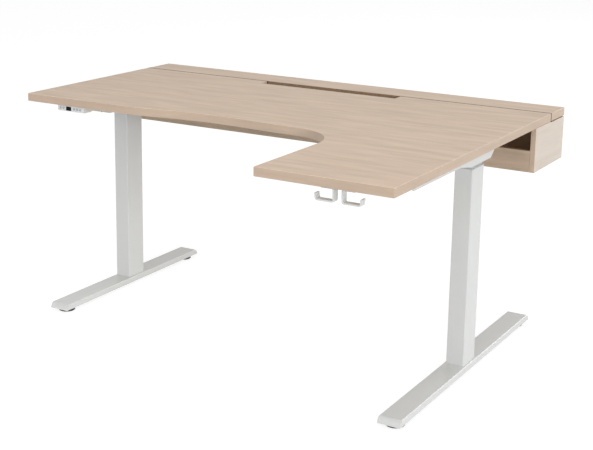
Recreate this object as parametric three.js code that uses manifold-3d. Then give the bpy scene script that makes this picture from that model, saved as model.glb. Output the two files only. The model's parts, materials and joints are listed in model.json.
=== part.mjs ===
// Electric sit-stand corner desk: an L-shaped wooden top with a cable tray and a lift-up flap along its
// rear edge, on two T-shaped steel legs whose three-stage columns telescope.
// Millimetres, +Z up. The desk stands at its lowest height. The origin is on the floor, under the centre
// of the desk's bounding box. +X runs along the desk's width and +Y points to its rear edge.
import * as THREE from 'three';
import { mergeVertices } from 'three/addons/utils/BufferGeometryUtils.js';
import Module from 'manifold-3d';

const wasm = await Module();
wasm.setup();

// ---------------------------------------------------------------- driving dimensions

const gap = 0.3; // between pieces that touch
const past = 1; // how far a cutting tool runs past the face it cuts

// top
const deskWidth = 1500;
const returnDepth = 1200; // rear edge to the front edge of the return
const wingDepth = 755; // rear edge to the front edge of the long wing
const returnWidth = 380;
const topThickness = 25;
const lowestHeight = 682; // floor to the top surface with the columns closed
const innerCornerRadius = 150;
const waveStart = 385; // from the left edge to where the shallow waist begins
const waveDeepest = 690; // from the left edge to the deepest point of the waist
const waveDepth = 34;
const waveEndDepth = 21; // how far back the edge still is where the corner's arc begins
const waveEase = 0.2; // handle lengths of the waist's curves, as a share of their run
const waveLongEase = 0.4;

// flap and cable tray
const flapDepth = 120;
const seamWidth = 4; // slot between the top and the flap
const trayDepth = 250;
const trayHeight = 134; // below the underside of the top
const trayLipHeight = 64;
const trayBoard = 16;
const flapRestHeight = 3; // slot between the flap and the tray's panels
const bumperRadius = 5;

// flap hinges
const hingeWidth = 60;
const hingeKnuckles = 5;
const hingeBarrelRadius = 3;
const hingePinRadius = 1.5;
const hingeLeafThickness = 1.5;
const hingeLeafDrop = 30;
const hingeLeafRise = 19;
const hingeScrewRadius = 1.7;
const hingeScrewCount = 3; // in each leaf
const hingeScrewInset = 10; // from the ends of the leaf
const hingeScrewEdge = 8; // from the leaf's long free edge
const hingeInset = 150; // from the ends of the flap to the middles of the outer hinges

// legs
const leftLegInset = 160; // left edge to the left column's axis
const rightLegInset = 75; // right edge to the right column's axis
const leftLegSetback = 304; // wing's front edge to the left column's axis
const rightLegSetback = 631; // return's front edge to the right column's axis
const footRearInset = 97; // rear edge to the feet's rear ends
const leftFootLength = 724;
const rightFootLength = 935;
const footWidth = 66;
const footHeight = 18;
const footWall = 3;
const footEdgeRadius = 4;
const footNoseKnee = 11; // height of the nose's bend above the foot's underside
const footNoseSlope = 14; // how far the nose's top edge lies behind its bottom edge
const footNoseStep = 5;
const doublerLength = 110; // plate welded inside the foot where the column is bolted on
const doublerThickness = 5;
const boltInset = 11; // column's faces to its bolts
const boltHoleRadius = 4.5; // in the foot
const boltThreadRadius = 3.4; // in the column's base plate
const glideHeight = 12; // floor to the underside of the feet
const glideRadius = 26;
const glideStemRadius = 4;
const glideStemRoom = 1; // free thread above the stem
const glideNeckRadius = 9;
const glideChamfer = 2;
const glideShoulder = 3;
const glideInset = 40; // from the ends of the feet
const glideBossRadius = 8;
const glideBossRecess = 1; // the boss ends this far inside the foot

// columns
const outerTubeX = 53;
const outerTubeY = 81;
const tubeWall = 2;
const tubeCorner = 3;
const tubeStep = 3.5; // each stage is this much smaller on each side
const columnReveal = 10; // how much of the inner stages shows under the rails
const collarFlange = 2.5;
const collarLength = 40;
const collarFlangeInset = 0.5; // the flange lies this far inside the tube's faces
const collarStagger = 5; // each stage stands this much above the one outside it
const tubeFootClearance = 14;
const stageStroke = 300; // of each of the two moving stages
const basePlateThickness = 5; // closes the outer tube's lower end
const carrierThickness = 4; // plate across the middle tube's lower end
const headPlateThickness = 4;
const headPlateClearance = 0.5; // to the rail's sides
const headPlateY = 124;
const headPlatePassage = 2; // room round the hollow spindle

// spindle train, one piece inside the other
const nutTubeRoom = 3; // to the inner tube's wall
const nutTubeWall = 1.8;
const hollowSpindleWall = 1.6; // at the corners of its hexagonal bore
const driveSlidingGap = 0.35; // between the hexagons
const driveTubeWall = 1.6; // at the hexagon's flats
const spindleRunningGap = 0.9;
const nutLength = 25;
const nutTubeDrop = 38; // below the top of the outer column
const hollowSpindleRise = 7; // above the carrier plate
const driveOverlap = 60; // of the hexagons with the column fully out
const driveFlangeRadius = 14;
const driveFlangeThickness = 5;
const screwReserve = 20; // above the drive nut with the column fully out

// rails, beams and drives under the top
const railHeight = 45;
const railWidth = 64;
const railSheet = 2.5;
const railRear = 102; // column axis to the rail's rear end
const railFullRear = 75; // column axis to the rear end of the rail's full height
const leftRailFullFront = 135; // column axis to the front end of the rail's full height
const rightRailFullFront = 66;
const railTaper = 75; // the stretch over which the rail gets shallower
const railFrontHeight = 26;
const railFrontBevel = 8;
const leftRailClearance = 7; // behind the handset
const rightRailSetback = 215; // return's front edge to the rail's front end
const railRearBevel = 22;
const railScrewRadius = 3;
const railScrewInset = 15; // from the rail's ends
const railScrewSpacing = 36;
const frontBeamOffset = 149; // in front of the left column's axis
const rearBeamOffset = 69;
const beamDepth = 40;
const beamHeight = 24;
const beamWall = 2;
const beamCorner = 3;
const beamPlateThickness = 3; // end plates that are bolted to the rails
const beamPlateDepth = 62;
const beamPlateHeight = 35;
const beamVentRadius = 6; // lets paint powder and air out of the tube
const gearboxClearance = 3.5; // to the rail's sides
const gearboxY = 96;
const gearboxEdge = 8;
const gearboxBore = 25;
const motorClearance = 0.45; // above and below, between the levels of the gearbox's ends
const motorLength = 108;
const motorCapStep = 2.5;
const motorCapLength = 13;
const motorCapTaper = 4;

// control box
const controlBoxX = 620; // from the left edge
const controlBoxClearance = 20; // behind the rear crossbeam
const controlBoxWidth = 210;
const controlBoxDepth = 100;
const controlBoxHeight = 34;
const controlBoxEdge = 6;
const controlBoxEarLength = 14;
const controlBoxEarDepth = 40;
const controlBoxEarThickness = 3;
const inletWidth = 27;
const inletHeight = 20;
const inletDepth = 18;
const inletWall = 2.5;
const inletFromEnd = 24;
const inletCorner = 2;

// handset
const handsetX = 118; // from the left edge
const handsetSetback = 5; // behind the wing's front edge
const handsetDepth = 70;
const handsetHeight = 17;
const handsetRearHeight = 11;
const handsetFlatDepth = 31; // the underside is level this far back and then rises
const handsetEdge = 1.5;
const displayWidth = 20;
const displayHeight = 12;
const displayThickness = 1.2;
const buttonWidth = 8;
const buttonHeight = 7;
const buttonLength = 3.6;
const buttonProud = 0.8;
const buttonTravel = 1.2;
const buttonCorner = 1.5;
const buttonPitch = 12;
const handsetLeftMargin = 7;
const handsetRightMargin = 11;
const displayGap = 6; // last button on the left to the display
const memoryGap = 8; // display to the first memory button

// bag hooks
const hookStrip = 4;
const hookWidth = 20;
const hookBend = 5;
const hookDrop = 35;
const hookReach = 48;
const hookTip = 16;
const hookTipLean = 2;
const hookFlange = 34;
const hookApart = 24; // between the two uprights' centrelines
const hookPairInset = 153; // right edge to the middle of the pair
const hookSetback = 12; // behind the return's front edge
const hookScrewRadius = 2.2;
const hookScrewPlaces = [13, 26]; // from the upright, along the flange

// ---------------------------------------------------------------- sizes worked out from those above

const undersideZ = lowestHeight - topThickness;
const fixZ = undersideZ - gap; // top of everything that is screwed to the underside
const footTopZ = glideHeight + footHeight;
const rearReach = gap + 2 * hingeBarrelRadius; // the hinge barrels stand out this far behind the rear edge
const topRearY = flapDepth + seamWidth;
const railBottomZ = fixZ - railHeight;
const outerColumnTop = railBottomZ - columnReveal;
const leftLegX = leftLegInset;
const rightLegX = deskWidth - rightLegInset;
const leftLegY = wingDepth - leftLegSetback; // column axes, from the rear edge
const rightLegY = returnDepth - rightLegSetback;

// ---------------------------------------------------------------- materials

function finish(color, roughness, metalness) {
  return new THREE.MeshStandardMaterial({ color, roughness, metalness });
}

const maple = () => finish(0xd3c4b4, 0.55, 0);
const whiteSteel = () => finish(0xdfe1df, 0.45, 0.1);
const zincSteel = () => finish(0xb4b7b8, 0.4, 0.9);
const drawnSteel = () => finish(0x9a9c9e, 0.3, 1);
const castMetal = () => finish(0x8b8e90, 0.55, 0.8);
const blackPlastic = () => finish(0x1b1b1c, 0.6, 0);
const whitePlastic = () => finish(0xe9eaea, 0.5, 0);
const greyPlastic = () => finish(0xa9acad, 0.5, 0);
const smokedGlass = () => finish(0x0b0b0d, 0.12, 0);

// ---------------------------------------------------------------- shaping tools

function toSolid(geometry) {
  const bare = geometry.clone();
  bare.deleteAttribute('normal');
  bare.deleteAttribute('uv');
  const merged = mergeVertices(bare, 1e-4);
  const vertProperties = Float32Array.from(merged.attributes.position.array);
  const triVerts = Uint32Array.from(merged.index.array);
  return new wasm.Manifold(new wasm.Mesh({ numProp: 3, vertProperties, triVerts }));
}

function toGeometry(solid) {
  const mesh = solid.getMesh();
  const geometry = new THREE.BufferGeometry();
  geometry.setAttribute('position', new THREE.BufferAttribute(mesh.vertProperties, 3));
  geometry.setIndex(new THREE.BufferAttribute(mesh.triVerts, 1));
  geometry.computeVertexNormals();
  return geometry;
}

const cut = (body, ...tools) =>
  toGeometry(tools.reduce((solid, tool) => solid.subtract(toSolid(tool)), toSolid(body)));
const fuse = (body, ...others) =>
  toGeometry(others.reduce((solid, other) => solid.add(toSolid(other)), toSolid(body)));
const common = (body, other) => toGeometry(toSolid(body).intersect(toSolid(other)));

// A box between two corners.
function block([x0, x1], [y0, y1], [z0, z1]) {
  const box = new THREE.BoxGeometry(x1 - x0, y1 - y0, z1 - z0);
  return box.translate((x0 + x1) / 2, (y0 + y1) / 2, (z0 + z1) / 2);
}

// A flat outline pushed along one axis. Along Y its points are (x, z), and along X they are (y, z).
function extrudeZ(shape, depth, curveSegments = 6) {
  return new THREE.ExtrudeGeometry(shape, { depth, bevelEnabled: false, curveSegments });
}
function extrudeY(shape, depth, curveSegments = 6) {
  return extrudeZ(shape, depth, curveSegments).rotateX(Math.PI / 2).translate(0, depth, 0);
}
function extrudeX(shape, depth, curveSegments = 6) {
  return extrudeZ(shape, depth, curveSegments).rotateX(Math.PI / 2).rotateZ(Math.PI / 2);
}

function outline(points) {
  return new THREE.Shape(points.map(([x, y]) => new THREE.Vector2(x, y)));
}

function roundedRectangle(width, height, radius, Kind = THREE.Shape) {
  const x = width / 2 - radius;
  const y = height / 2 - radius;
  const shape = new Kind();
  shape.absarc(x, y, radius, 0, Math.PI / 2);
  shape.absarc(-x, y, radius, Math.PI / 2, Math.PI);
  shape.absarc(-x, -y, radius, Math.PI, Math.PI * 1.5);
  shape.absarc(x, -y, radius, Math.PI * 1.5, Math.PI * 2);
  shape.closePath();
  return shape;
}

// A length of rounded rectangular tube standing on z = 0.
function rectangularTube(width, depth, corner, wall, length) {
  const section = roundedRectangle(width, depth, corner);
  const boreCorner = Math.max(corner - wall, 0.5);
  section.holes.push(roundedRectangle(width - 2 * wall, depth - 2 * wall, boreCorner, THREE.Path));
  return extrudeZ(section, length, 3);
}

// A turned piece about the Z axis from (radius, height) points that close on themselves.
function turned(profile, segments = 24) {
  const points = profile.map(([radius, z]) => new THREE.Vector2(radius, z));
  return new THREE.LatheGeometry(points, segments).rotateX(Math.PI / 2);
}

function rod(radius, z0, z1, segments = 24) {
  return turned([[0, z0], [radius, z0], [radius, z1], [0, z1]], segments);
}

// A hexagon with its corners at the given radius, one of them on +X.
function hexagon(radius, Kind = THREE.Shape) {
  const corner = (i) => new THREE.Vector2(radius, 0).rotateAround(new THREE.Vector2(), (i * Math.PI) / 3);
  return new Kind(Array.from({ length: 6 }, (_, i) => corner(i)));
}

// The edge outline of a strip of metal bent at each of its corners.
function bentStrip(corners, thickness, bend) {
  const path = new THREE.Path();
  path.moveTo(corners[0].x, corners[0].y);
  for (let i = 1; i < corners.length - 1; i += 1) {
    const before = corners[i].clone().sub(corners[i - 1]).setLength(bend);
    const after = corners[i + 1].clone().sub(corners[i]).setLength(bend);
    const start = corners[i].clone().sub(before);
    const end = corners[i].clone().add(after);
    path.lineTo(start.x, start.y);
    path.quadraticCurveTo(corners[i].x, corners[i].y, end.x, end.y);
  }
  const last = corners[corners.length - 1];
  path.lineTo(last.x, last.y);
  const middle = path.getPoints(5);
  const offset = (distance) => middle.map((point, i) => {
    const ahead = middle[Math.min(i + 1, middle.length - 1)];
    const behind = middle[Math.max(i - 1, 0)];
    const side = new THREE.Vector2().subVectors(ahead, behind).setLength(distance);
    return new THREE.Vector2(point.x - side.y, point.y + side.x);
  });
  return new THREE.Shape([...offset(thickness / 2), ...offset(-thickness / 2).reverse()]);
}

function piece(group, name, geometry, material, x = 0, y = 0, z = 0) {
  const mesh = new THREE.Mesh(geometry, material);
  mesh.name = name;
  mesh.position.set(x, y, z);
  group.add(mesh);
  return mesh;
}

// The desk group's own frame: x from the left edge, y = 0 at the rear edge, z from the floor.
const desk = new THREE.Group();
desk.position.set(-deskWidth / 2, (returnDepth - rearReach) / 2, 0);

// ---------------------------------------------------------------- wooden top and flap

function desktopGeometry() {
  const innerX = deskWidth - returnWidth;
  const arcX = innerX - innerCornerRadius;
  const deepY = -(wingDepth - waveDepth);
  const arcY = -(wingDepth - waveEndDepth);
  const shape = new THREE.Shape();
  shape.moveTo(0, -topRearY);
  shape.lineTo(0, -wingDepth);
  shape.lineTo(waveStart, -wingDepth);
  const runIn = waveDeepest - waveStart;
  const turnIn = waveDeepest - waveLongEase * runIn;
  shape.bezierCurveTo(waveStart + waveEase * runIn, -wingDepth, turnIn, deepY, waveDeepest, deepY);
  const handle = waveLongEase * (arcX - waveDeepest);
  shape.bezierCurveTo(waveDeepest + handle, deepY, arcX - handle, arcY, arcX, arcY);
  shape.absarc(arcX, arcY - innerCornerRadius, innerCornerRadius, Math.PI / 2, 0, true);
  shape.lineTo(innerX, -returnDepth);
  shape.lineTo(deskWidth, -returnDepth);
  shape.lineTo(deskWidth, -topRearY);
  shape.closePath();
  return extrudeZ(shape, topThickness, 12);
}

piece(desk, 'desktop', desktopGeometry(), maple(), 0, 0, undersideZ);
piece(desk, 'rear_flap', block([0, deskWidth], [0, flapDepth], [0, topThickness]), maple(),
  0, -flapDepth, undersideZ);

// ---------------------------------------------------------------- cable tray under the flap

const tray = new THREE.Group();
tray.position.set(0, -trayDepth, undersideZ - trayHeight);
desk.add(tray);

const trayPanelTop = trayHeight - flapRestHeight;
const trayClearWidth = [trayBoard + gap, deskWidth - trayBoard - gap];

// The side panels reach the underside of the top and step down under the flap.
function traySideGeometry() {
  const stepY = trayDepth - topRearY + gap;
  const points = [
    [0, 0],
    [trayDepth, 0],
    [trayDepth, trayPanelTop],
    [stepY, trayPanelTop],
    [stepY, trayHeight - gap],
    [0, trayHeight - gap],
  ];
  return extrudeX(outline(points), trayBoard);
}

piece(tray, 'tray_left_side', traySideGeometry(), maple());
piece(tray, 'tray_right_side', traySideGeometry(), maple(), deskWidth - trayBoard);
piece(tray, 'tray_bottom',
  block(trayClearWidth, [trayBoard + gap, trayDepth - trayBoard - gap], [0, trayBoard]), maple());
piece(tray, 'tray_lip', block(trayClearWidth, [0, trayBoard], [0, trayLipHeight]), maple());
piece(tray, 'tray_back', block(trayClearWidth, [0, trayBoard], [0, trayPanelTop]), maple(),
  0, trayDepth - trayBoard);

// Rubber bumpers on the side panels carry the closed flap's front edge.
const bumperY = trayDepth - flapDepth + 2 * bumperRadius;
const bumper = () => rod(bumperRadius, gap, flapRestHeight - gap, 16);
const bumperInset = trayBoard / 2;
piece(tray, 'flap_bumper_left', bumper(), blackPlastic(), bumperInset, bumperY, trayPanelTop);
piece(tray, 'flap_bumper_right', bumper(), blackPlastic(), deskWidth - bumperInset, bumperY, trayPanelTop);

// ---------------------------------------------------------------- flap hinges

// The knuckles of the two leaves take turns along the pin, which lies in the slot under the flap.
const knucklePitch = hingeWidth / hingeKnuckles;

function knuckleRow(isOwn, sign, leafReach) {
  const leafZ = sign > 0 ? [0, leafReach] : [-leafReach, 0];
  const plate = block([0, hingeWidth], [0, hingeLeafThickness], leafZ);
  const barrel = rod(hingeBarrelRadius, gap / 2, knucklePitch - gap / 2, 12).rotateY(Math.PI / 2);
  const clearance = hingeBarrelRadius + gap;
  let leaf = plate;
  for (let i = 0; i < hingeKnuckles; i += 1) {
    const x = i * knucklePitch;
    if (isOwn(i)) {
      leaf = fuse(leaf, barrel.clone().translate(x, hingeBarrelRadius, 0));
    } else {
      const notch = block([x - gap / 2, x + knucklePitch + gap / 2], [-past, hingeLeafThickness + past],
        sign > 0 ? [-past, clearance] : [-clearance, past]);
      leaf = cut(leaf, notch);
    }
  }
  const bore = rod(hingePinRadius + gap, -past, hingeWidth + past, 12).rotateY(Math.PI / 2);
  const screwZ = sign * (leafReach - hingeScrewEdge);
  const screwPitch = (hingeWidth - 2 * hingeScrewInset) / (hingeScrewCount - 1);
  const screws = Array.from({ length: hingeScrewCount }, (_, i) =>
    rod(hingeScrewRadius, -past, hingeLeafThickness + past, 8)
      .rotateX(-Math.PI / 2)
      .translate(hingeScrewInset + i * screwPitch, 0, screwZ));
  return cut(leaf, bore.translate(0, hingeBarrelRadius, 0), ...screws);
}

function hinge(index, centreX) {
  const group = new THREE.Group();
  group.position.set(centreX - hingeWidth / 2, gap, undersideZ - flapRestHeight / 2);
  desk.add(group);
  const fixedLeaf = knuckleRow((i) => i % 2 === 0, -1, hingeLeafDrop);
  const flapLeaf = knuckleRow((i) => i % 2 === 1, 1, hingeLeafRise);
  const pin = rod(hingePinRadius, 0, hingeWidth, 12).rotateY(Math.PI / 2);
  piece(group, `hinge_${index}_fixed_leaf`, fixedLeaf, zincSteel());
  piece(group, `hinge_${index}_flap_leaf`, flapLeaf, zincSteel());
  piece(group, `hinge_${index}_pin`, pin, drawnSteel(), 0, hingeBarrelRadius);
}

const hingePlaces = [hingeInset, deskWidth / 2, deskWidth - hingeInset];
hingePlaces.forEach((x, i) => hinge(i + 1, x));

// ---------------------------------------------------------------- feet

// Side view of a foot: a bar whose noses slope back in two steps, from y = -front to y = +rear.
function footSide(front, rear, inset) {
  const top = footHeight - inset;
  const bottom = inset ? -past : 0;
  return outline([
    [-front + inset, bottom],
    [rear - inset, bottom],
    [rear - inset - footNoseStep, footNoseKnee - inset],
    [rear - inset - footNoseSlope, top],
    [-front + inset + footNoseSlope, top],
    [-front + inset + footNoseStep, footNoseKnee - inset],
  ]);
}

// Cross-section of a foot: a channel that is open below, with rounded upper edges.
function footSection(inset) {
  const half = footWidth / 2 - inset;
  const top = footHeight - inset;
  const radius = footEdgeRadius - inset;
  const shape = new THREE.Shape();
  const bottom = inset ? -past : 0;
  shape.moveTo(-half, bottom);
  shape.lineTo(half, bottom);
  shape.lineTo(half, top - radius);
  shape.absarc(half - radius, top - radius, radius, 0, Math.PI / 2);
  shape.absarc(-half + radius, top - radius, radius, Math.PI / 2, Math.PI);
  shape.closePath();
  return shape;
}

const boltX = outerTubeX / 2 - boltInset;
const boltY = outerTubeY / 2 - boltInset;

// Four holes or threads under the column, from z0 to z1.
function boltHoles(radius, z0, z1) {
  const corners = [[1, 1], [-1, 1], [-1, -1], [1, -1]];
  return corners.map(([x, y]) => rod(radius, z0, z1, 12).translate(x * boltX, y * boltY, 0));
}

function footGeometry(front, rear) {
  const form = (inset) => common(
    extrudeY(footSection(inset), front + rear, 3).translate(0, -front, 0),
    extrudeX(footSide(front, rear, inset), footWidth).translate(-footWidth / 2, 0, 0),
  );
  const doublerX = footWidth / 2 - footWall;
  const doublerY = doublerLength / 2;
  const sheetZ = footHeight - footWall;
  const doublerZ = [sheetZ - doublerThickness, sheetZ + gap];
  const doubler = block([-doublerX, doublerX], [-doublerY, doublerY], doublerZ);
  const bolts = boltHoles(boltHoleRadius, 0, footHeight + past);
  let foot = fuse(cut(form(0), form(footWall)), doubler);
  foot = cut(foot, ...bolts);
  for (const y of [-front + glideInset, rear - glideInset]) {
    const boss = rod(glideBossRadius, glideBossRecess, footHeight - footWall / 2, 16).translate(0, y, 0);
    const thread = rod(glideStemRadius + gap, -past, sheetZ, 16).translate(0, y, 0);
    foot = cut(fuse(foot, boss), thread);
  }
  return foot;
}

// A glide: a foot on a stem that screws up into the boss.
function glideGeometry() {
  const foot = glideHeight - gap;
  const stemTop = glideHeight + footHeight - footWall - glideStemRoom;
  return turned([
    [0, 0],
    [glideRadius - glideChamfer, 0],
    [glideRadius, glideChamfer],
    [glideRadius - glideChamfer, foot - glideShoulder],
    [glideNeckRadius, foot],
    [glideStemRadius, foot],
    [glideStemRadius, stemTop],
    [0, stemTop],
  ], 20);
}

// ---------------------------------------------------------------- telescopic columns

// Stage 0 is the outer tube that stands on the foot, stage 1 the middle tube, and stage 2 the inner tube
// that carries the top. A fixed screw stands on the outer tube's base plate. Round it turns the drive
// tube, whose nut climbs the screw and lifts the middle tube by its carrier plate. The drive tube is a
// hexagon that slides in the hollow spindle and turns with it. The hollow spindle hangs from the gearbox
// and climbs through the nut of the nut tube, which stands on the carrier plate.
const stageX = (stage) => outerTubeX - 2 * tubeStep * stage;
const stageY = (stage) => outerTubeY - 2 * tubeStep * stage;
const stageCorner = (stage) => tubeCorner - stage / 2;
const stageTop = (stage) => outerColumnTop + collarStagger * stage;
const stageBottom = (stage) => footTopZ + gap + tubeFootClearance * stage;

// Radii of the spindle train, from the outside in.
const nutTubeRadius = stageX(2) / 2 - tubeWall - nutTubeRoom;
const hollowSpindleRadius = nutTubeRadius - nutTubeWall - spindleRunningGap;
const hexBoreRadius = hollowSpindleRadius - hollowSpindleWall; // to the corners
const driveTubeRadius = hexBoreRadius - driveSlidingGap; // to the corners
const driveBoreRadius = driveTubeRadius * Math.cos(Math.PI / 6) - driveTubeWall;
const screwRadius = driveBoreRadius - spindleRunningGap;

// Heights of the spindle train above the floor.
const carrierBottom = stageBottom(1);
const carrierTop = carrierBottom + carrierThickness;
const nutTubeTop = outerColumnTop - nutTubeDrop;
const hollowSpindleBottom = carrierTop + hollowSpindleRise;
const driveTubeTop = hollowSpindleBottom + stageStroke + driveOverlap;
const screwTop = carrierBottom + nutLength + stageStroke + screwReserve;

// The open tube of a stage, which ends just under its collar's flange.
function stageTube(stage) {
  const length = stageTop(stage) - collarFlange - gap - stageBottom(stage);
  return rectangularTube(stageX(stage), stageY(stage), stageCorner(stage), tubeWall, length);
}

const stagePlate = (stage, thickness) =>
  extrudeZ(roundedRectangle(stageX(stage), stageY(stage), stageCorner(stage)), thickness, 3);

// The outer tube is welded to a base plate with four bolt threads, and the fixed screw stands on that.
function outerTubeGeometry() {
  const threads = boltHoles(boltThreadRadius, -past, basePlateThickness + past);
  const plate = cut(stagePlate(0, basePlateThickness), ...threads);
  const screw = rod(screwRadius, gap, screwTop - stageBottom(0), 20);
  return fuse(stageTube(0), plate, screw);
}

// The middle tube has a carrier plate across its lower end, with a hole that the drive tube turns in.
function middleTubeGeometry() {
  const hole = rod(driveTubeRadius + gap, -past, carrierThickness + past, 20);
  return fuse(stageTube(1), cut(stagePlate(1, carrierThickness), hole));
}

// The inner tube runs up to a head plate that is welded across its top.
function innerTubeGeometry() {
  const length = railBottomZ - stageBottom(2);
  const tube = rectangularTube(stageX(2), stageY(2), stageCorner(2), tubeWall, length);
  const plateX = railWidth - 2 * (railSheet + headPlateClearance);
  const plate = extrudeZ(roundedRectangle(plateX, headPlateY, tubeCorner), headPlateThickness, 3);
  const passage = rod(hollowSpindleRadius + headPlatePassage, -past, headPlateThickness + past, 20);
  return fuse(tube, cut(plate, passage).translate(0, 0, length));
}

// A plastic collar guides the next stage: a thin sleeve inside the tube with a flange on its rim.
function collarGeometry(stage) {
  const room = 2 * (tubeWall + gap);
  const inside = 2 * (tubeStep - gap);
  const rim = 2 * collarFlangeInset;
  const corner = stageCorner(stage);
  const innerCorner = corner - tubeWall;
  const bore = roundedRectangle(stageX(stage) - inside, stageY(stage) - inside, innerCorner, THREE.Path);
  const sleeve = roundedRectangle(stageX(stage) - room, stageY(stage) - room, innerCorner);
  const flange = roundedRectangle(stageX(stage) - rim, stageY(stage) - rim, corner);
  sleeve.holes.push(bore);
  flange.holes.push(bore);
  const reach = collarLength + collarFlange;
  const flangePlate = extrudeZ(flange, collarFlange, 2).translate(0, 0, -collarFlange);
  return fuse(extrudeZ(sleeve, reach, 2).translate(0, 0, -reach), flangePlate);
}

// The nut tube, with its nut at the upper end.
function nutTubeGeometry() {
  const bore = hollowSpindleRadius + spindleRunningGap;
  const nutBore = hollowSpindleRadius + gap;
  const foot = carrierTop + gap;
  return turned([
    [bore, foot],
    [nutTubeRadius, foot],
    [nutTubeRadius, nutTubeTop],
    [nutBore, nutTubeTop],
    [nutBore, nutTubeTop - nutLength],
    [bore, nutTubeTop - nutLength],
    [bore, foot],
  ], 20);
}

function hollowSpindleGeometry(top) {
  const section = new THREE.Shape().absarc(0, 0, hollowSpindleRadius, 0, Math.PI * 2);
  section.holes.push(hexagon(hexBoreRadius, THREE.Path));
  return extrudeZ(section, top - hollowSpindleBottom, 20).translate(0, 0, hollowSpindleBottom);
}

// The drive tube, with its flanged nut at the lower end, just under the carrier plate.
function driveTubeGeometry() {
  const flangeTop = carrierBottom - gap;
  const flangeBottom = flangeTop - driveFlangeThickness;
  const hexBottom = flangeTop - gap;
  const hex = extrudeZ(hexagon(driveTubeRadius), driveTubeTop - hexBottom).translate(0, 0, hexBottom);
  const body = fuse(hex, rod(driveFlangeRadius, flangeBottom, flangeTop, 20));
  const nutBore = rod(screwRadius + gap, flangeBottom - past, driveTubeTop + past, 20);
  const bore = rod(driveBoreRadius, flangeBottom + nutLength, driveTubeTop + past, 20);
  return cut(body, nutBore, bore);
}

// ---------------------------------------------------------------- rails and drives

// Side view of a rail: full height round the column, shallower towards the front, with bevelled ends.
function railSide(front, fullFront) {
  return outline([
    [-front, 0],
    [railRear, 0],
    [railRear, -railHeight + railRearBevel],
    [railFullRear, -railHeight],
    [-fullFront, -railHeight],
    [-fullFront - railTaper, -railFrontHeight],
    [-front + railFrontBevel, -railFrontHeight],
    [-front, -railFrontHeight + railFrontBevel],
  ]);
}

// A channel that is open below, cut to its side view.
function railGeometry(front, fullFront) {
  const half = railWidth / 2;
  const inner = half - railSheet;
  const section = outline([
    [-half, 0],
    [-half, -railHeight],
    [-inner, -railHeight],
    [-inner, -railSheet],
    [inner, -railSheet],
    [inner, -railHeight],
    [half, -railHeight],
    [half, 0],
  ]);
  const rail = common(
    extrudeY(section, front + railRear).translate(0, -front, 0),
    extrudeX(railSide(front, fullFront), railWidth).translate(-half, 0, 0),
  );
  const screws = [];
  for (const y of [railRear - railScrewInset, -front + railScrewInset]) {
    for (const x of [-railScrewSpacing / 2, railScrewSpacing / 2]) {
      screws.push(rod(railScrewRadius, -railSheet - past, past, 12).translate(x, y, 0));
    }
  }
  return cut(rail, ...screws);
}

const gearboxZ = railBottomZ + headPlateThickness + gap;
const gearboxHeight = fixZ - railSheet - gap - gearboxZ;
const motorRadius = gearboxHeight / 2 - motorClearance;

function gearboxGeometry() {
  const gearboxX = railWidth - 2 * (railSheet + gearboxClearance);
  const casing = extrudeZ(roundedRectangle(gearboxX, gearboxY, gearboxEdge), gearboxHeight, 4);
  return cut(casing, rod(hollowSpindleRadius + gap, -past, gearboxBore + gap, 20));
}

// The motor lies along the rail, with a stepped end cap. It is turned about Y and ends at y = 0.
function motorGeometry() {
  const cap = motorRadius - motorCapStep;
  return turned([
    [0, 0],
    [cap, 0],
    [cap, motorCapLength],
    [motorRadius, motorCapLength + motorCapTaper],
    [motorRadius, motorLength],
    [0, motorLength],
  ], 24).rotateX(Math.PI / 2).translate(0, motorLength, 0);
}

function leg(side, x, y, footLength, railFront, railFullFront) {
  const group = new THREE.Group();
  group.position.set(x, -y, 0);
  desk.add(group);
  const rear = y - footRearInset;
  const front = footLength - rear;
  piece(group, `${side}_foot`, footGeometry(front, rear), whiteSteel(), 0, 0, glideHeight);
  piece(group, `${side}_front_glide`, glideGeometry(), blackPlastic(), 0, -front + glideInset);
  piece(group, `${side}_rear_glide`, glideGeometry(), blackPlastic(), 0, rear - glideInset);

  piece(group, `${side}_outer_tube`, outerTubeGeometry(), whiteSteel(), 0, 0, stageBottom(0));
  piece(group, `${side}_outer_collar`, collarGeometry(0), blackPlastic(), 0, 0, stageTop(0));
  piece(group, `${side}_middle_tube`, middleTubeGeometry(), whiteSteel(), 0, 0, stageBottom(1));
  piece(group, `${side}_middle_collar`, collarGeometry(1), blackPlastic(), 0, 0, stageTop(1));
  piece(group, `${side}_inner_tube`, innerTubeGeometry(), whiteSteel(), 0, 0, stageBottom(2));

  piece(group, `${side}_nut_tube`, nutTubeGeometry(), zincSteel());
  piece(group, `${side}_hollow_spindle`, hollowSpindleGeometry(gearboxZ + gearboxBore), drawnSteel());
  piece(group, `${side}_drive_tube`, driveTubeGeometry(), drawnSteel());

  piece(group, `${side}_rail`, railGeometry(railFront, railFullFront), whiteSteel(), 0, 0, fixZ);
  piece(group, `${side}_gearbox`, gearboxGeometry(), castMetal(), 0, 0, gearboxZ);
  piece(group, `${side}_motor`, motorGeometry(), castMetal(),
    0, -gearboxY / 2 - gap - motorLength, gearboxZ + gearboxHeight / 2);
}

const leftRailFront = leftLegSetback - handsetSetback - handsetDepth - leftRailClearance;
const rightRailFront = rightLegSetback - rightRailSetback;
leg('left', leftLegX, leftLegY, leftFootLength, leftRailFront, leftRailFullFront);
leg('right', rightLegX, rightLegY, rightFootLength, rightRailFront, rightRailFullFront);

// ---------------------------------------------------------------- crossbeams

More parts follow.
